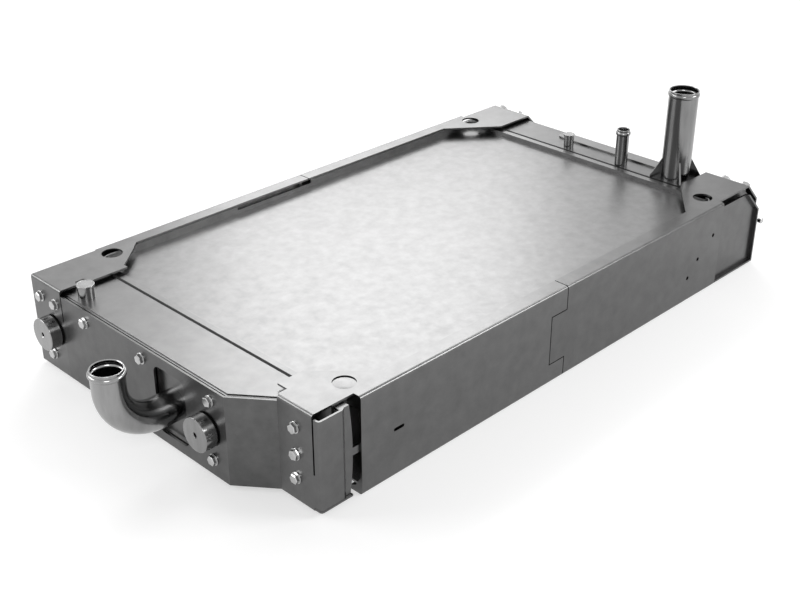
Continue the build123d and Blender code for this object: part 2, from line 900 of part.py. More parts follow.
# The bend is drawn as short straight steps around its arc
bend_points = [
    (
        bend_start - elbow_bend * math.sin(step * math.pi / 2 / bend_steps),
        bend_top - elbow_bend * math.cos(step * math.pi / 2 / bend_steps),
    )
    for step in range(bend_steps + 1)
]
with BuildPart() as outlet_elbow:
    with BuildLine(Plane.XZ.offset(-elbow_y)):
        Polyline((elbow_start, elbow_level), *bend_points, (elbow_axis_x, bend_top + bend_end))
    with BuildSketch(Plane(origin=(elbow_start, elbow_y, elbow_level), z_dir=(-1, 0, 0))):
        RegularPolygon(elbow_outer, pipe_sides)
        RegularPolygon(elbow_outer - pipe_wall, pipe_sides, mode=Mode.SUBTRACT)
    sweep(transition=Transition.RIGHT)
    add(elbow_spigot)
save(outlet_elbow.part, "outlet_elbow")

# Mounting pads and the rings they stand on, each with a hole for a screw
pad_points = [(-centre, pad_level) for centre in pad_centres]
with BuildPart() as pad_rings:
    with BuildSketch(end_plane):
        with Locations(*pad_points):
            RegularPolygon(pad_ring_radius, pipe_sides)
            RegularPolygon(
                pad_hole + bolt_clearance, hole_sides, major_radius=False, mode=Mode.SUBTRACT
            )
    extrude(amount=pad_ring_thick)
save(pad_rings.part, "pad_rings")
with BuildPart() as mount_pads:
    with BuildSketch(end_plane.offset(pad_ring_thick)):
        with Locations(*pad_points):
            Circle(pad_radius)
            Circle(pad_hole, mode=Mode.SUBTRACT)
    extrude(amount=pad_thick)
save(mount_pads.part, "mount_pads")

# Inlet pipe with its four gussets, and the vent pipe
inlet_pipe = Pos(pipe_x, pipe_y, 0) * spigot(pipe_radius, tank_top, pipe_mouth, pipe_bead_rise)
save(inlet_pipe, "inlet_pipe")
with BuildPart() as gusset:
    with BuildSketch(Plane.XZ.offset(-sheet / 2)):
        Polygon(
            (pipe_radius - 1, tank_top),
            (pipe_radius + gusset_reach, tank_top),
            (pipe_radius + gusset_reach, tank_top + gusset_toe),
            (pipe_radius - 1, tank_top + gusset_height),
            align=None,
        )
    extrude(amount=sheet)
    Cylinder(pipe_radius, 3 * height, mode=Mode.SUBTRACT)
with BuildPart() as pipe_gussets:
    with Locations((pipe_x, pipe_y, 0)):
        for quarter in range(4):
            add(gusset.part, rotation=(0, 0, 45 + 90 * quarter))
save(pipe_gussets.part, "pipe_gussets")
vent_pipe = Pos(vent_x, vent_y, 0) * spigot(vent_radius, tank_top, vent_mouth, vent_bead_rise)
save(vent_pipe, "vent_pipe")


def plugged_boss(radius, top):
    """Short boss on the Z axis, closed at its mouth by a slightly wider plug."""
    with BuildPart() as boss:
        extrude(ring(tank_top, radius), amount=top - cap_thick - tank_top)
        extrude(ring(top - cap_thick, radius + cap_rise), amount=cap_thick)
    return boss.part


outlet_boss = plugged_boss(outlet_boss_radius, outlet_boss_top)
inlet_boss = plugged_boss(inlet_boss_radius, inlet_boss_top)
save(Pos(outlet_boss_x, outlet_boss_y, 0) * outlet_boss, "outlet_boss")
save(Pos(inlet_boss_x, inlet_boss_y, 0) * inlet_boss, "inlet_boss")

# Stiffening strip on the inlet tank, cut back around the pipe
strip_width = 25.0
strip_offset = 15.5
strip_x = rail_end + 71.5
strip_end = left(190.5)
strip_start = right(bracket_width + strip_offset)
strip_clearance = 1.0
with BuildPart() as tank_strip:
    with BuildSketch(Plane.XY.offset(tank_top)):
        with Locations((strip_x, strip_start)):
            Rectangle(
                strip_width, strip_end - strip_width / 2 - strip_start, align=(Align.CENTER, Align.MIN)
            )
        with Locations((strip_x, strip_end - strip_width / 2)):
            Circle(strip_width / 2)
        with Locations((pipe_x, pipe_y)):
            Circle(pipe_radius + gusset_reach + strip_clearance, mode=Mode.SUBTRACT)
    extrude(amount=sheet)
save(tank_strip.part, "tank_strip")

# Corner pans of the inlet end: floor, rims folded outwards on three sides,
# and one edge folded in against the core's side channel
pan_outline = [
    (pan_start, pan_top),
    (pan_face - pan_chamfer, pan_top),
    (pan_face, pan_top - pan_chamfer),
    (pan_face, pan_bottom),
    (pan_start, pan_bottom),
]
rim_shift = sheet * math.tan(math.radians(22.5))
pan_hollow = [
    (pan_start - sheet, pan_top + sheet),
    (pan_face - pan_chamfer - rim_shift - 2 * sheet, pan_top + sheet),
    (pan_face - sheet, pan_top - pan_chamfer - rim_shift),
    (pan_face - sheet, pan_bottom + sheet),
    (pan_start - sheet, pan_bottom + sheet),
]
with BuildPart() as corner_pan:
    with BuildSketch(side_plane):
        Polygon(*pan_outline, align=None)
    extrude(amount=-pan_depth - sheet)
    with BuildSketch(side_plane):
        Polygon(*pan_hollow, align=None)
    extrude(amount=-pan_depth, mode=Mode.SUBTRACT)
    with Locations((pan_start, right(tray_inset), pan_bottom)):
        Box(
            sheet, tray_inset - pan_depth, pan_top - pan_bottom,
            align=(Align.MIN, Align.MAX, Align.MIN),
        )
save(corner_pan.part, "inlet_corner_right")
save(mirror(corner_pan.part, about=Plane.XZ), "inlet_corner_left")

# Bottom plates in the outlet corners
base_top = tank_bottom
base_bottom = base_top - sheet
base_end = rail_start - 16.0
base_reach = 95.0
with BuildPart() as outlet_base_right:
    with BuildSketch(Plane.XY.offset(base_bottom)):
        add(sheet_region)
        with Locations((base_end, right(0))):
            Rectangle(height, base_reach, align=(Align.MAX, Align.MIN), mode=Mode.INTERSECT)
        with Locations((corner_face, right(0))):
            Rectangle(2 * sheet, outer_corner - 0.5, align=(Align.MIN, Align.MIN))
        fillet(vertices().group_by(Axis.Y)[0].sort_by(Axis.X)[0], bend)
    extrude(amount=base_top - base_bottom)
save(outlet_base_right.part, "outlet_base_right")
with BuildPart() as outlet_base_left:
    with BuildSketch(Plane.XY.offset(base_bottom)):
        add(sheet_region)
        with Locations((base_end, left(left_edge + sheet))):
            Rectangle(height, base_reach, align=(Align.MAX, Align.MAX), mode=Mode.INTERSECT)
    extrude(amount=base_top - base_bottom)
save(outlet_base_left.part, "outlet_base_left")

# Blocks between the corner plates and the tanks
block_offset = 38.0
block_in = 60.0
block_length = 24.0
block_width = 40.0
block_height = height - sheet - tank_top
with BuildPart() as corner_blocks:
    for x in (rail_start - block_offset, rail_end + block_offset):
        with Locations((x, right(block_in), tank_top), (x, left(block_in), tank_top)):
            Box(
                block_length, block_width, block_height,
                align=(Align.CENTER, Align.CENTER, Align.MIN),
            )
save(corner_blocks.part, "corner_blocks")

# Bolts, and the spacers between the plates that they hold together
plate_bolt = bolt(tank_depth - bolt_clearance)
slope_bolt = bolt(slope_setback / math.sqrt(2) - bolt_clearance)
with BuildPart() as end_plate_bolts:
    with Locations(end_plane):
        with Locations(*plate_points):
            add(plate_bolt)
save(end_plate_bolts.part, "end_plate_bolts")
with BuildPart() as corner_flange_bolts:
    with Locations(corner_plane):
        with Locations(*corner_points):
            add(plate_bolt)
save(corner_flange_bolts.part, "corner_bolts")
with BuildPart() as slope_bolt_set:
    for bolt_y in slope_bolts:
        with Locations(slope_seat(bolt_y)):
            add(slope_bolt)
save(slope_bolt_set.part, "slope_bolts")

with BuildPart() as bolt_spacers:
    for plane, points, length in (
        (end_plane.offset(-flange_depth), plate_points, stack_gap),
        (corner_plane.offset(-flange_depth), corner_points, stack_gap),
    ):
        with BuildSketch(plane):
            with Locations(*points):
                RegularPolygon(spacer_radius, shank_sides)
                RegularPolygon(bolt_radius + bolt_clearance, shank_sides, mode=Mode.SUBTRACT)
        extrude(amount=length)
save(bolt_spacers.part, "bolt_spacers")

# Drain screw through the right end flange into the tank, its head turned to the side
screw_head_x = drain_end - screw_head_radius
screw_head_plane = Plane(origin=(screw_head_x, right(drain_in), drain_level), z_dir=(0, -1, 0))
with BuildPart() as drain_screw:
    with BuildSketch(drain_plane):
        RegularPolygon(drain_radius, washer_sides)
    extrude(amount=drain_end - far_tank_face)
    with BuildSketch(screw_head_plane):
        RegularPolygon(screw_neck_radius, shank_sides)
    extrude(amount=drain_in - screw_head_length)
    with BuildSketch(screw_head_plane.offset(drain_in - screw_head_length)):
        RegularPolygon(screw_head_radius, washer_sides)
    extrude(amount=screw_head_length)
save(drain_screw.part, "drain_screw")
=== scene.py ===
import json
import math

import bmesh
import bpy
from mathutils import Matrix, Vector


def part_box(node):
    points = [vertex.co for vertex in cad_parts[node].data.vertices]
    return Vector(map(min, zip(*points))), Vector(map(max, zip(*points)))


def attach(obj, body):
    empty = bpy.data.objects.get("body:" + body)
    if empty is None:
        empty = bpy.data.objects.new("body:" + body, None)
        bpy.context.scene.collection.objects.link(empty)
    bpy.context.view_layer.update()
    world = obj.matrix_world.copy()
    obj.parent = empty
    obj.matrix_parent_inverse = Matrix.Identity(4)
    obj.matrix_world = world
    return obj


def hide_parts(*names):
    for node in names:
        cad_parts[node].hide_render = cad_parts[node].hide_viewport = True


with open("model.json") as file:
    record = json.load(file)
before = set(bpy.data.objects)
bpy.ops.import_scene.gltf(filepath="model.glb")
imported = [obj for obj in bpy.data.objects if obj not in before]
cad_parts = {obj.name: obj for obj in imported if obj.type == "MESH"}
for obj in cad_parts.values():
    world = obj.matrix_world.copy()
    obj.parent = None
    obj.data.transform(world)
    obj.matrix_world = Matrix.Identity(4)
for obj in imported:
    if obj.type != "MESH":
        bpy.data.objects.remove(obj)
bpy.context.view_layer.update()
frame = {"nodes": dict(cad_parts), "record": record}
scene = bpy.context.scene
mm = 0.001
mergeDistance = 0.005 * mm
print("frame loaded:", len(frame["nodes"]), "nodes")


# Materials

metalLooks = {
    "frame_sheet": {
        "color": 0.13, "colorSpread": 0.013, "roughness": 0.29, "roughSpread": 0.012,
        "grain": (45.0, 45.0, 45.0), "detail": 6.0,
    },
    "tank_sheet": {
        "color": 0.135, "colorSpread": 0.011, "roughness": 0.31, "roughSpread": 0.012,
        "grain": (45.0, 45.0, 45.0), "detail": 6.0,
    },
    "face_sheet": {
        "color": 0.145, "colorSpread": 0.017, "roughness": 0.32, "roughSpread": 0.018,
        "grain": (62.0, 62.0, 62.0), "detail": 8.0,
    },
    "core_metal": {
        "color": 0.30, "colorSpread": 0.04, "roughness": 0.42, "roughSpread": 0.05,
        "grain": (20.0, 20.0, 20.0), "detail": 2.0,
    },
    "pipe_metal": {
        "color": 0.27, "colorSpread": 0.045, "roughness": 0.18, "roughSpread": 0.03,
        "grain": (60.0, 60.0, 9.0), "detail": 5.0,
    },
    "fastener_metal": {
        "color": 0.50, "colorSpread": 0.04, "roughness": 0.13, "roughSpread": 0.03,
        "grain": (90.0, 90.0, 90.0), "detail": 2.0,
    },
}

# clouds in every metal: the part of the noise that is used, its breakup, and how far the
# clouds of the gloss are shifted from those of the tone
cloudLook = {"low": 0.3, "high": 0.7, "breakup": 0.6, "glossShift": 5.0}

fillerLook = {"color": (0.012, 0.012, 0.012, 1.0), "roughness": 0.8, "shine": 0.25}

# listed pieces are a shade darker or lighter than the rest of their metal: painted light and
# shade, set to how bright each piece looks where the light falls on it
paintedLightShares = {
    "inlet_corner_right": 0.88, "inlet_corner_left": 0.88, "rail_splices": 0.92,
    "outlet_end_plate": 0.82, "outlet_tank_flange": 1.08, "outlet_base_right": 0.92,
    "outlet_base_left": 0.92, "inlet_rail_right": 0.94, "outlet_rail_left": 0.97,
    "inlet_pipe": 0.80, "vent_pipe": 0.90, "pipe_gussets": 0.72, "outlet_elbow": 1.08,
    "inlet_tank": 0.82, "tank_strip": 1.12,
}


def cloudRange(material, look, middle, spread, shift):
    # soft clouds on the object's own coordinates, turned into a range of values
    nodes = material.node_tree.nodes
    links = material.node_tree.links
    place = nodes.new("ShaderNodeTexCoord")
    stretch = nodes.new("ShaderNodeMapping")
    stretch.inputs["Location"].default_value = (shift, shift, shift)
    stretch.inputs["Scale"].default_value = look["grain"]
    cloud = nodes.new("ShaderNodeTexNoise")
    cloud.inputs["Scale"].default_value = 1.0
    cloud.inputs["Detail"].default_value = look["detail"]
    cloud.inputs["Roughness"].default_value = cloudLook["breakup"]
    spreader = nodes.new("ShaderNodeMapRange")
    spreader.inputs["From Min"].default_value = cloudLook["low"]
    spreader.inputs["From Max"].default_value = cloudLook["high"]
    spreader.inputs["To Min"].default_value = middle - spread
    spreader.inputs["To Max"].default_value = middle + spread
    links.new(place.outputs["Object"], stretch.inputs["Vector"])
    links.new(stretch.outputs["Vector"], cloud.inputs["Vector"])
    links.new(cloud.outputs["Fac"], spreader.inputs["Value"])
    return spreader.outputs["Result"]


def metalMaterial(name, look, share=1.0):
    # the share makes the metal a shade darker or lighter, which paints light and shade into one
    # piece
    material = bpy.data.materials.new(name)
    material.use_nodes = True
    links = material.node_tree.links
    shader = material.node_tree.nodes["Principled BSDF"]
    shader.inputs["Metallic"].default_value = 1.0
    tone = cloudRange(material, look, look["color"] * share, look["colorSpread"], 0.0)
    links.new(tone, shader.inputs["Base Color"])
    shift = cloudLook["glossShift"]
    gloss = cloudRange(material, look, look["roughness"], look["roughSpread"], shift)
    links.new(gloss, shader.inputs["Roughness"])
    return material


def fillerMaterial(look):
    material = bpy.data.materials.new("seamFiller")
    material.use_nodes = True
    shader = material.node_tree.nodes["Principled BSDF"]
    shader.inputs["Base Color"].default_value = look["color"]
    shader.inputs["Roughness"].default_value = look["roughness"]
    shader.inputs["Specular IOR Level"].default_value = look["shine"]
    return material


materials = {name: metalMaterial(name, look) for name, look in metalLooks.items()}
materials["seam_filler"] = fillerMaterial(fillerLook)

finishes = {}
for part in frame["record"]["subparts"]:
    name = part["node"]
    slot = part["material_slot"]
    finishes[name] = materials[slot]
    # listed pieces get a darker or lighter copy of their metal: painted light and shade
    if name in paintedLightShares:
        finishes[name] = metalMaterial(name + "Metal", metalLooks[slot], paintedLightShares[name])
    node = frame["nodes"][name]
    node.data.materials.clear()
    node.data.materials.append(finishes[name])
print("materials set")


# Helpers for new pieces

edgeSteps = 3  # faces across each rounded edge


def dress(name, shape, node, smoothAngle):
    # the finished piece takes the node's material and stands for it
    bmesh.ops.remove_doubles(shape, verts=shape.verts, dist=mergeDistance)
    bmesh.ops.recalc_face_normals(shape, faces=shape.faces)
    mesh = bpy.data.meshes.new(name)
    shape.to_mesh(mesh)
    shape.free()
    mesh.shade_smooth()
    mesh.set_sharp_from_angle(angle=math.radians(smoothAngle))
    mesh.materials.append(finishes[node])
    piece = bpy.data.objects.new(name, mesh)
    scene.collection.objects.link(piece)
    flats = piece.modifiers.new("flats", "WEIGHTED_NORMAL")  # flat faces stay flat at round edges
    flats.keep_sharp = True
    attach(piece, "root")
    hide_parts(node)


def vertsIn(geometry):
    return [item for item in geometry if isinstance(item, bmesh.types.BMVert)]


def edgesIn(geometry):
    return [item for item in geometry if isinstance(item, bmesh.types.BMEdge)]


def facesIn(geometry):
    return [item for item in geometry if isinstance(item, bmesh.types.BMFace)]


def spanOf(points):
    # lowest and highest corner round some points
    low = Vector([min(point[i] for point in points) for i in range(3)])
    high = Vector([max(point[i] for point in points) for i in range(3)])
    return low, high


def roundedCorner(before, corner, after, radius):
    # points of an arc that rounds one corner of a flat profile
    corner = Vector(corner)
    inward = (Vector(before) - corner).normalized()
    onward = (Vector(after) - corner).normalized()
    half = inward.angle(onward) / 2
    reach = radius / math.tan(half)
    centre = corner + (inward + onward).normalized() * (radius / math.sin(half))
    start = corner + inward * reach - centre
    end = corner + onward * reach - centre
    points = []
    for step in range(edgeSteps + 1):
        spoke = start.lerp(end, step / edgeSteps).normalized() * radius
        points.append(centre + spoke)
    return points


def roundedProfile(corners, radii):
    # closed profile whose corners are rounded by the radius given for each
    points = []
    for index, corner in enumerate(corners):
        radius = radii[index]
        if radius <= 0:
            points.append(Vector(corner))
        else:
            before = corners[index - 1]
            after = corners[(index + 1) % len(corners)]
            points.extend(roundedCorner(before, corner, after, radius))
    return points


def turned(shape, profile, place, segments):
    # closed profile of (radius, height) points spun about the place's own Z axis
    rim = [shape.verts.new((point[0], 0.0, point[1])) for point in profile]
    edges = [shape.edges.new((rim[i - 1], rim[i])) for i in range(len(rim))]
    bmesh.ops.spin(
        shape, geom=rim + edges, cent=(0, 0, 0), axis=(0, 0, 1),
        angle=2 * math.pi, steps=segments, use_merge=True,
    )
    for vert in shape.verts:
        if not vert.tag:  # tagged ones belong to what was made before
            vert.co = place @ vert.co
            vert.tag = True


def standing(point, axis):
    # place whose Z axis points along the axis
    turn = Vector(axis).to_track_quat("Z", "Y").to_matrix().to_4x4()
    return Matrix.Translation(point) @ turn


def solidsOf(node):
    # vertices of each separate solid of a CAD node, in the order of the node's mesh
    shape = bmesh.new()
    shape.from_mesh(frame["nodes"][node].data)
    bmesh.ops.remove_doubles(shape, verts=shape.verts, dist=mergeDistance)
    left = set(shape.verts)
    solids = []
    for first in shape.verts:
        if first not in left:
            continue
        left.remove(first)
        front = [first]
        island = []
        while front:
            vert = front.pop()
            island.append(vert.co.copy())
            for edge in vert.link_edges:
                other = edge.other_vert(vert)
                if other in left:
                    left.remove(other)
                    front.append(other)
        solids.append(island)
    shape.free()
    return solids


def topOf(solid, axis):
    # point in the middle of a solid's far end along an axis
    place = standing((0, 0, 0), Vector(axis).normalized())
    back = place.inverted()
    low, high = spanOf([back @ point for point in solid])
    return place @ Vector(((low.x + high.x) / 2, (low.y + high.y) / 2, high.z))


# Hose pipes

pipeLook = {
    "segments": 96,
    "wall": 2.0 * mm,
    "inletRise": 1.5 * mm,
    "ventRise": 1.8 * mm,
    "beadDrop": 7.0 * mm,
    "beadHalf": 3.5 * mm,
    "beadPower": 1.3,
    "beadSteps": 10,
    "lipRound": 0.8 * mm,
    "lipSteps": 3,
    "smoothAngle": 35.0,
}


def beadSwell(step, rise, look):
    # half turn across the bead, and how far it swells there
    turn = math.pi * step / look["beadSteps"]
    return turn, rise * math.sin(turn) ** look["beadPower"]


def beadProfile(radius, mouth, rise, look):
    # outer line of the pipe from below the bead to the mouth
    crest = mouth - look["beadDrop"]
    line = []
    for step in range(look["beadSteps"] + 1):
        turn, swell = beadSwell(step, rise, look)
        line.append((radius + swell, crest - look["beadHalf"] * math.cos(turn)))
    lip = look["lipRound"]
    for step in range(look["lipSteps"] + 1):
        turn = math.pi / 2 * step / look["lipSteps"]
        line.append((radius - lip + lip * math.cos(turn), mouth - lip + lip * math.sin(turn)))
    return line


def beadGroove(bore, mouth, rise, look):
    # inner line of the pipe from the mouth to below the bead, hollow behind the bead
    crest = mouth - look["beadDrop"]
    line = [(bore + look["lipRound"], mouth), (bore, mouth - look["lipRound"])]
    for step in range(look["beadSteps"] + 1):
        turn, swell = beadSwell(step, rise, look)
        line.append((bore + swell, crest + look["beadHalf"] * math.cos(turn)))
    return line


def makePipe(name, node, rise, look):
    low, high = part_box(node)
    radius = (high.x - low.x) / 2 - rise
    bore = radius - look["wall"]
    profile = [(bore, low.z), (radius, low.z)]
    profile += beadProfile(radius, high.z, rise, look)
    profile += beadGroove(bore, high.z, rise, look)
    middle = ((low.x + high.x) / 2, (low.y + high.y) / 2, 0)
    shape = bmesh.new()
    turned(shape, profile, standing(middle, (0, 0, 1)), look["segments"])
    dress(name, shape, node, look["smoothAngle"])


makePipe("inletPipe", "inlet_pipe", pipeLook["inletRise"], pipeLook)
makePipe("ventPipe", "vent_pipe", pipeLook["ventRise"], pipeLook)

elbowLook = {
    "rise": 2.5 * mm,
    "radius": 22.5 * mm,
    "bend": 66.0 * mm,
    "bendSteps": 24,
}


def nextRing(shape, edges, place):
    # extrudes a ring of edges and moves the new ring by a transform
    made = bmesh.ops.extrude_edge_only(shape, edges=edges)["geom"]
    bmesh.ops.transform(shape, matrix=place, verts=vertsIn(made))
    return edgesIn(made)


def ringTo(shape, edges, middle, oldRadius, oldLevel, radius, level):
    # next ring of an upright pipe, at another radius and level
    centre = Vector((middle[0], middle[1], 0))
    share = radius / oldRadius
    place = Matrix.Translation(centre + Vector((0, 0, level)))
    place = place @ Matrix.Diagonal((share, share, 1, 1))
    place = place @ Matrix.Translation(-centre - Vector((0, 0, oldLevel)))
    return nextRing(shape, edges, place)


def makeElbow(look, pipe):
    low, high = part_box("outlet_elbow")
    radius = look["radius"]
    bore = radius - pipe["wall"]
    root = high.x
    axisX = low.x + radius + look["rise"]
    middleY = (low.y + high.y) / 2
    level = low.z + radius
    bendX = axisX + look["bend"]
    bendZ = level + look["bend"]
    pivot = Vector((bendX, middleY, bendZ))
    turn = Matrix.Translation(pivot) @ Matrix.Rotation(math.pi / 2 / look["bendSteps"], 4, "Y")
    turn = turn @ Matrix.Translation(-pivot)
    start = Matrix.Translation((root, middleY, level)) @ Matrix.Rotation(-math.pi / 2, 4, "Y")
    shape = bmesh.new()
    bmesh.ops.create_circle(
        shape, cap_ends=False, segments=pipe["segments"], radius=radius, matrix=start
    )
    # outside: level leg, bend, bead and mouth
    edges = nextRing(shape, list(shape.edges), Matrix.Translation((bendX - root, 0, 0)))
    for step in range(look["bendSteps"]):
        edges = nextRing(shape, edges, turn)
    line = beadProfile(radius, high.z, look["rise"], pipe)
    line += beadGroove(bore, high.z, look["rise"], pipe)
    line.append((bore, bendZ))
    oldRadius = radius
    oldLevel = bendZ
    for nextRadius, nextLevel in line:
        edges = ringTo(
            shape, edges, (axisX, middleY), oldRadius, oldLevel, nextRadius, nextLevel
        )
        oldRadius = nextRadius
        oldLevel = nextLevel
    # inside: back round the bend to the root
    for step in range(look["bendSteps"]):
        edges = nextRing(shape, edges, turn.inverted())
    edges = nextRing(shape, edges, Matrix.Translation((root - bendX, 0, 0)))
    # the bore's last ring widens to meet the first one, which closes the root
    centre = Vector((root, middleY, level))
    share = radius / bore
    widen = Matrix.Translation(centre) @ Matrix.Diagonal((1, share, share, 1))
    nextRing(shape, edges, widen @ Matrix.Translation(-centre))
    dress("outletElbow", shape, "outlet_elbow", pipe["smoothAngle"])


makeElbow(elbowLook, pipeLook)
print("pipes made")


# Sealing strips of the tanks' seams, pressed out over the seams' edges

seamLook = {
    "spread": 1.5 * mm, "rise": 0.3 * mm, "crown": 0.2 * mm, "sink": 0.3 * mm,
    "smoothAngle": 20.0,
}


def makeSeamStrip(name, node, skin, look):
    low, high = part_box(node)
    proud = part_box(skin)[1].z - high.z  # from the ring's outside up to the metal's skin
    wide = high.x - low.x
    spread = look["spread"]
    foot = proud - look["sink"]
    shoulder = proud + look["rise"]
    middle = Vector((0, (low.y + high.y) / 2, (low.z + high.z) / 2))
    halfY = (high.y - low.y) / 2
    halfZ = (high.z - low.z) / 2
    # closed section of the strip: along the core, and outward from the ring
    line = [
        (-spread, foot), (-spread, shoulder), (wide / 2, shoulder + look["crown"]),
        (wide + spread, shoulder), (wide + spread, foot), (wide, foot), (wide, -proud),
        (0, -proud), (0, foot), (-spread, foot),
    ]
    shape = bmesh.new()
    along, outward = line[0]
    corners = []
    for sideY, sideZ in ((-1, -1), (1, -1), (1, 1), (-1, 1)):
        point = Vector((low.x + along, sideY * (halfY + outward), sideZ * (halfZ + outward)))
        corners.append(shape.verts.new(middle + point))
    edges = [shape.edges.new((corners[i - 1], corners[i])) for i in range(len(corners))]
    for nextAlong, nextOutward in line[1:]:
        growY = (halfY + nextOutward) / (halfY + outward)
        growZ = (halfZ + nextOutward) / (halfZ + outward)
        place = Matrix.Translation(middle + Vector((nextAlong - along, 0, 0)))
        place = place @ Matrix.Diagonal((1, growY, growZ, 1)) @ Matrix.Translation(-middle)
        edges = nextRing(shape, edges, place)
        along = nextAlong
        outward = nextOutward
    dress(name, shape, node, look["smoothAngle"])


makeSeamStrip("outletSeamStrip", "outlet_seam_ring", "outlet_tank", seamLook)
makeSeamStrip("inletSeamStrip", "inlet_seam_ring", "inlet_header", seamLook)
print("seam strips made")


# Bolts on washers

boltLook = {
    "washerRadius": 8.5 * mm,
    "washerThick": 1.6 * mm,
    "washerRound": 0.4 * mm,
    "flats": 13.0 * mm,
    "head": 5.3 * mm,
    "crown": 0.9 * mm,
    "crownShare": 0.84,
    "shank": 4.0 * mm,
    "overlap": 0.1 * mm,
    "core": 0.5 * mm,  # hollow along the axis, hidden under the head
    "segments": 40,
    "shankSegments": 20,
    "firstTurn": 0.5,
    "nextTurn": 0.7,
    "smoothAngle": 28.0,
}


def addBolt(shape, solid, axis, turn, look):
    axis = Vector(axis).normalized()
    seat = topOf(solid, axis) - axis * (look["head"] + look["washerThick"])
    place = standing(seat, axis)
    reach = max((seat - point).dot(axis) for point in solid)
    core = look["core"]
    radius = look["washerRadius"]
    thick = look["washerThick"]
    edge = look["washerRound"]
    washer = roundedProfile(
        [(core, 0), (radius, 0), (radius, thick), (core, thick)], [0, edge, edge, 0]
    )
    turned(shape, washer, place, look["segments"])
    overlap = look["overlap"]
    shank = [(core, -reach), (look["shank"], -reach), (look["shank"], overlap), (core, overlap)]
    turned(shape, shank, place, look["shankSegments"])
    # hexagon head with a slightly domed, chamfered top
    lift = Matrix.Translation((0, 0, thick)) @ Matrix.Rotation(turn, 4, "Z")
    head = bmesh.ops.create_circle(
        shape, cap_ends=True, segments=6, radius=look["flats"] / math.sqrt(3), matrix=place @ lift
    )
    faces = [head["verts"][0].link_faces[0]]
    for rise, share in (
        (look["head"] - look["crown"], 1.0), (look["crown"], look["crownShare"]),
    ):
        grown = bmesh.ops.extrude_face_region(shape, geom=faces)["geom"]
        faces = facesIn(grown)
        verts = vertsIn(grown)
        centre = sum((vert.co for vert in verts), Vector()) / len(verts)
        for vert in verts:
            vert.co = centre + (vert.co - centre) * share + axis * rise
    for vert in shape.verts:
        vert.tag = True


def makeBolts(name, node, axis, look):
    shape = bmesh.new()
    for index, solid in enumerate(solidsOf(node)):
        addBolt(shape, solid, axis, look["firstTurn"] + look["nextTurn"] * index, look)
    dress(name, shape, node, look["smoothAngle"])


makeBolts("endPlateBolts", "end_plate_bolts", (-1, 0, 0), boltLook)
makeBolts("cornerBolts", "corner_bolts", (-1, 0, 0), boltLook)
makeBolts("slopeBolts", "slope_bolts", (1, 0, 1), boltLook)
print("bolts made")


# Pads, bosses and drain screw

padLook = {
    "edge": 0.9 * mm, "hole": 3.5 * mm, "countersink": 1.0 * mm, "segments": 96,
    "smoothAngle": 35.0,
}


def makePads(look):
    shape = bmesh.new()
    for solid in solidsOf("mount_pads"):
        top = topOf(solid, (-1, 0, 0))
        low, high = spanOf(solid)
        thick = high.x - top.x
        radius = (high.z - low.z) / 2
        hole = look["hole"]
        sink = look["countersink"]
        profile = roundedProfile(
            [(hole, -thick), (radius, -thick), (radius, 0), (hole + sink, 0), (hole, -sink)],
            [0, look["edge"], look["edge"], 0, 0],
        )
        turned(shape, profile, standing(top, (-1, 0, 0)), look["segments"])
    dress("mountPads", shape, "mount_pads", look["smoothAngle"])


makePads(padLook)

bossLook = {
    "capThick": 3.0 * mm, "capRise": 1.2 * mm, "edge": 0.6 * mm,
    "socketShare": 0.8, "socketDepth": 0.25 * mm,
    "core": 0.2 * mm, "segments": 64, "smoothAngle": 35.0,
}


def makeBoss(name, node, look):
    low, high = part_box(node)
    rim = (high.y - low.y) / 2
    radius = rim - look["capRise"]
    seam = high.z - look["capThick"]
    edge = look["edge"]
    core = look["core"]
    socket = rim * look["socketShare"]
    floor = high.z - look["socketDepth"]
    profile = roundedProfile(
        [
            (core, low.z), (radius, low.z), (radius, seam), (rim, seam),
            (rim, high.z), (socket, high.z), (socket, floor), (core, floor),
        ],
        [0, 0, 0, edge / 2, edge, edge / 2, 0, 0],
    )
    shape = bmesh.new()
    middle = ((low.x + high.x) / 2, (low.y + high.y) / 2, 0)
    turned(shape, profile, standing(middle, (0, 0, 1)), look["segments"])
    dress(name, shape, node, look["smoothAngle"])


makeBoss("outletBoss", "outlet_boss", bossLook)
makeBoss("inletBoss", "inlet_boss", bossLook)

drainLook = {
    "body": 6.0 * mm, "neck": 3.0 * mm, "head": 5.0 * mm, "headLength": 7.0 * mm,
    "edge": 0.8 * mm, "core": 0.2 * mm, "segments": 40, "smoothAngle": 35.0,
}


def makeDrain(look):
    low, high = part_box("drain_screw")
    level = (low.z + high.z) / 2
    root = Vector((low.x, high.y - look["body"], level))
    length = high.x - low.x
    edge = look["edge"]
    core = look["core"]
    shape = bmesh.new()
    body = roundedProfile(
        [(core, 0), (look["body"], 0), (look["body"], length), (core, length)],
        [0, 0, edge, 0],
    )
    turned(shape, body, standing(root, (1, 0, 0)), look["segments"])
    # neck and head of the cross piece, out of the body's side
    neckRoot = Vector((high.x - look["head"], root.y, level))
    reach = root.y - low.y
    neckEnd = reach - look["headLength"]
    neck = roundedProfile(
        [
            (core, 0), (look["neck"], 0), (look["neck"], neckEnd), (look["head"], neckEnd),
            (look["head"], reach), (core, reach),
        ],
        [0, 0, 0, edge, edge, 0],
    )
    turned(shape, neck, standing(neckRoot, (0, -1, 0)), look["segments"])
    dress("drainScrew", shape, "drain_screw", look["smoothAngle"])


makeDrain(drainLook)
print("pads, bosses and drain made")


# Core: finer fins between the tubes

finLook = {"folds": 110, "sheet": 0.35 * mm, "smoothAngle": 20.0}


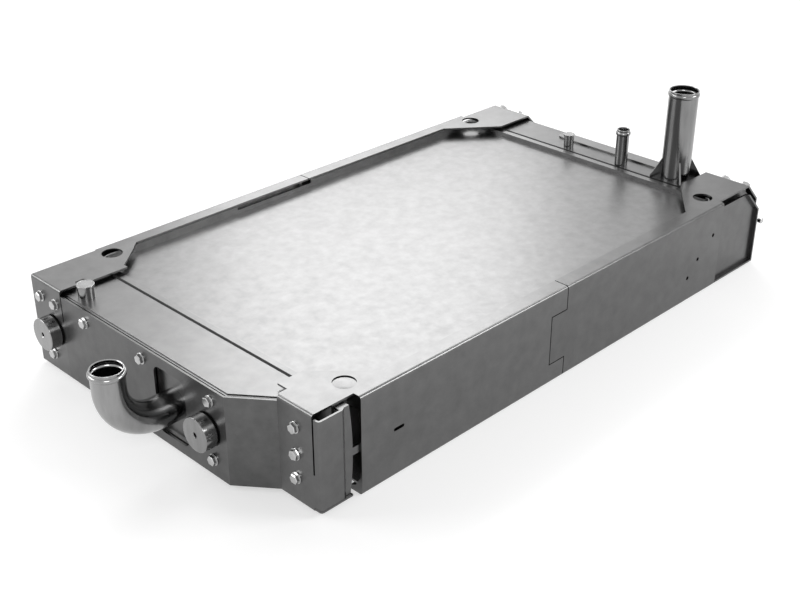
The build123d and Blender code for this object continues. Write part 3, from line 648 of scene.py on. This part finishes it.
def makeFins(look):
    shape = bmesh.new()
    folds = look["folds"]
    for solid in solidsOf("core_fins"):
        low, high = spanOf(solid)
        fold = (high.x - low.x) / folds
        tall = high.y - low.y
        thick = look["sheet"] * math.hypot(fold, tall) / fold
        # zigzag strip on the floor of the gap, then drawn up to its full depth
        rows = []
        for side in (0, 1):
            row = []
            for step in range(folds + 1):
                level = (tall - thick) * (step % 2) + thick * side
                row.append(shape.verts.new((low.x + step * fold, low.y + level, low.z)))
            rows.append(row)
        near, far = rows
        faces = []
        for step in range(folds):
            quad = (near[step], near[step + 1], far[step + 1], far[step])
            faces.append(shape.faces.new(quad))
        grown = bmesh.ops.extrude_face_region(shape, geom=faces)["geom"]
        bmesh.ops.translate(shape, verts=vertsIn(grown), vec=(0, 0, high.z - low.z))
    dress("coreFins", shape, "core_fins", look["smoothAngle"])


makeFins(finLook)
print("fins made")


# Floor, camera and light

studio = {
    "floorSize": 40.0,
    "floorColor": (0.62, 0.62, 0.62, 1.0),
    "floorGlow": 0.48,
    "glowNear": 1.2,
    "glowFar": 4.0,
    "skyColor": (1.0, 1.0, 1.0, 1.0),
    "worldStrength": 0.22,
    "whiteStrength": 1.0,
    "cameraPlace": (-1.25722, -1.24290, 0.98859),
    "cameraRight": (0.704667, -0.709539, 0.0),
    "cameraUp": (0.337751, 0.335432, 0.879437),
    "cameraBack": (-0.623994, -0.619710, 0.476015),
    "cameraReach": 100.0,
    "lens": 56.42,
    "sensor": 36.0,
    "boxes": [
        {"name": "softBox", "place": (2.20, 2.37, 2.50), "size": (1.6, 2.2), "power": 51.0},
        {"name": "wideBox", "place": (2.35, 2.86, 2.05), "size": (4.0, 3.0), "power": 20.0},
        {"name": "rightBox", "place": (1.66, -2.20, 1.60), "size": (1.3, 0.9), "power": 42.0},
        {"name": "leftBox", "place": (-1.95, 1.95, 1.60), "size": (1.8, 1.2), "power": 38.0},
        {"name": "backBox", "place": (-2.30, -2.30, 2.20), "size": (1.4, 1.0), "power": 38.0},
        {"name": "rightStrip", "place": (1.75, 0.15, 2.05), "size": (1.4, 0.4), "power": 9.0},
        {"name": "leftStrip", "place": (0.15, 1.75, 2.05), "size": (1.4, 0.4), "power": 11.0},
    ],
    "boxTarget": (0.0, 0.0, 0.1),
}


def backdropRays(nodes, links):
    # 1 for rays that should see the white background: camera, glossy and transmission rays
    rays = nodes.new("ShaderNodeLightPath")
    seen = rays.outputs["Is Camera Ray"]
    for kind in ("Is Glossy Ray", "Is Transmission Ray"):
        either = nodes.new("ShaderNodeMath")
        either.operation = "MAXIMUM"
        links.new(seen, either.inputs[0])
        links.new(rays.outputs[kind], either.inputs[1])
        seen = either.outputs[0]
    return seen


def paperMaterial(look):
    material = bpy.data.materials.new("floorPaper")
    material.use_nodes = True
    nodes = material.node_tree.nodes
    links = material.node_tree.links
    nodes.clear()
    out = nodes.new("ShaderNodeOutputMaterial")
    paper = nodes.new("ShaderNodeBsdfDiffuse")
    paper.inputs["Color"].default_value = look["floorColor"]
    glow = nodes.new("ShaderNodeEmission")
    # away from the object the paper rises to the white of the background
    place = nodes.new("ShaderNodeTexCoord")
    distance = nodes.new("ShaderNodeVectorMath")
    distance.operation = "LENGTH"
    links.new(place.outputs["Object"], distance.inputs[0])
    level = nodes.new("ShaderNodeMapRange")
    level.interpolation_type = "SMOOTHSTEP"
    level.inputs["From Min"].default_value = look["glowNear"]
    level.inputs["From Max"].default_value = look["glowFar"]
    level.inputs["To Min"].default_value = look["floorGlow"]
    level.inputs["To Max"].default_value = look["whiteStrength"]
    links.new(distance.outputs["Value"], level.inputs["Value"])
    strength = nodes.new("ShaderNodeMath")
    strength.operation = "MULTIPLY"
    links.new(backdropRays(nodes, links), strength.inputs[0])
    links.new(level.outputs["Result"], strength.inputs[1])
    links.new(strength.outputs[0], glow.inputs["Strength"])
    both = nodes.new("ShaderNodeAddShader")
    links.new(paper.outputs["BSDF"], both.inputs[0])
    links.new(glow.outputs["Emission"], both.inputs[1])
    links.new(both.outputs["Shader"], out.inputs["Surface"])
    return material


def makeFloor(look):
    shape = bmesh.new()
    bmesh.ops.create_grid(shape, x_segments=1, y_segments=1, size=look["floorSize"] / 2)
    mesh = bpy.data.meshes.new("floor")
    shape.to_mesh(mesh)
    shape.free()
    mesh.materials.append(paperMaterial(look))
    floor = bpy.data.objects.new("floor", mesh)
    scene.collection.objects.link(floor)


def makeCamera(look):
    data = bpy.data.cameras.new("camera")
    data.lens = look["lens"]
    data.sensor_width = look["sensor"]
    data.clip_end = look["cameraReach"]
    camera = bpy.data.objects.new("camera", data)
    scene.collection.objects.link(camera)
    right = Vector(look["cameraRight"])
    up = Vector(look["cameraUp"])
    back = Vector(look["cameraBack"])
    turn = Matrix((right, up, back)).transposed()
    camera.matrix_world = Matrix.Translation(look["cameraPlace"]) @ turn.to_4x4()
    scene.camera = camera


def makeWorld(look):
    world = bpy.data.worlds.new("world")
    scene.world = world
    world.use_nodes = True
    nodes = world.node_tree.nodes
    links = world.node_tree.links
    sky = nodes["Background"]
    sky.inputs["Color"].default_value = look["skyColor"]
    # the sky lights at its own strength, and is white where it is seen or mirrored
    level = nodes.new("ShaderNodeMapRange")
    level.inputs["To Min"].default_value = look["worldStrength"]
    level.inputs["To Max"].default_value = look["whiteStrength"]
    links.new(backdropRays(nodes, links), level.inputs["Value"])
    links.new(level.outputs["Result"], sky.inputs["Strength"])


def makeBox(box, target):
    # light box aimed at the target
    data = bpy.data.lights.new(box["name"], "AREA")
    data.shape = "RECTANGLE"
    data.size, data.size_y = box["size"]
    data.energy = box["power"]
    lamp = bpy.data.objects.new(box["name"], data)
    scene.collection.objects.link(lamp)
    lamp.location = box["place"]
    aim = Vector(target) - Vector(box["place"])
    lamp.rotation_euler = aim.to_track_quat("-Z", "Y").to_euler()


makeFloor(studio)
makeCamera(studio)
makeWorld(studio)
for box in studio["boxes"]:
    makeBox(box, studio["boxTarget"])
scene.view_settings.view_transform = "Standard"
print("studio set")
